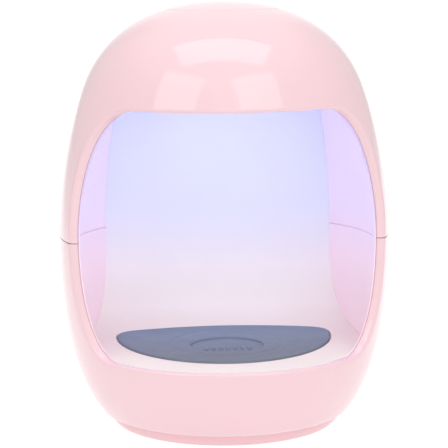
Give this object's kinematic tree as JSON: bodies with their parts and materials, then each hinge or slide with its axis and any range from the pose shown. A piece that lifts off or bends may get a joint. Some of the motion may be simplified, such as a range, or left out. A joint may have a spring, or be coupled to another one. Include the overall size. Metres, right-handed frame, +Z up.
{
  "type": "uv led nail lamp",
  "caption": "Egg-shaped table-top UV LED nail lamp with a tall front opening, white reflector chamber, silicone finger pad, press button in the crown and USB inlet.",
  "frame": {"origin": "on the egg's vertical axis, on the surface that the lamp stands on", "axes": "+Z up, -Y out of the opening towards the user, +X to the right as seen from the front"},
  "size_m": [0.0626, 0.0606, 0.08],
  "materials": {
    "shell_pink": "glossy moulded ABS",
    "base_pink": "glossy moulded ABS, slightly deeper pink",
    "liner_white": "semi-gloss white moulding",
    "panel_white": "satin white reflector sheet",
    "pad_silicone": "matte moulded silicone",
    "disc_rubber": "matte anti-slip rubber",
    "screw_steel": "zinc-plated steel",
    "lens_clear": "clear LED dome",
    "led_white": "white LED housing",
    "board_white": "white solder mask on an aluminium core",
    "board_green": "green solder mask",
    "switch_black": "black moulding",
    "chip_black": "black epoxy",
    "ferrite_grey": "ferrite",
    "can_aluminium": "drawn aluminium can",
    "connector_white": "natural nylon",
    "usb_steel": "bright plated steel",
    "usb_black": "black moulding",
    "wire_red": "red insulation",
    "wire_black": "black insulation",
    "wire_yellow": "yellow insulation",
    "wire_white": "white insulation"
  },
  "bodies": {
    "housing": {"upper_shell": "shell_pink", "lower_shell": "shell_pink", "base_plate": "base_pink", "anti_slip_disc": "disc_rubber", "base_screw_front": "screw_steel", "base_screw_left": "screw_steel", "base_screw_right": "screw_steel", "upper_liner": "liner_white", "lower_liner": "liner_white", "reflector_panel": "panel_white", "liner_screw_left": "screw_steel", "liner_screw_right": "screw_steel", "liner_floor_screw_left": "screw_steel", "liner_floor_screw_right": "screw_steel", "led_board": "board_white", "led_board_screw_left": "screw_steel", "led_board_screw_right": "screw_steel", "led_body_left": "led_white", "led_body_middle": "led_white", "led_body_right": "led_white", "led_lens_left": "lens_clear", "led_lens_middle": "lens_clear", "led_lens_right": "lens_clear", "switch_board": "board_green", "switch_body": "switch_black", "switch_board_screw_left": "screw_steel", "switch_board_screw_right": "screw_steel", "main_board": "board_green", "main_board_screw_left": "screw_steel", "main_board_screw_right": "screw_steel", "usb_socket_shell": "usb_steel", "usb_socket_tongue": "usb_black", "controller_chip": "chip_black", "power_inductor": "ferrite_grey", "filter_capacitor": "can_aluminium", "wire_connector": "connector_white", "led_wire_red": "wire_red", "led_wire_black": "wire_black", "switch_wire_yellow": "wire_yellow", "switch_wire_white": "wire_white"},
    "button": {"power_button": "shell_pink", "switch_plunger": "switch_black"},
    "pad": {"silicone_pad": "pad_silicone"}
  },
  "joints": [
    {"name": "button_press", "type": "slide", "parent": "housing", "child": "button", "axis": [0, 0, -1], "range_m": [0, 0.0005], "stiffness_N_per_m": 3000},
    {"name": "pad_lift", "type": "slide", "parent": "housing", "child": "pad", "axis": [0, 0, 1], "range_m": [0, 0.008]}
  ]
}
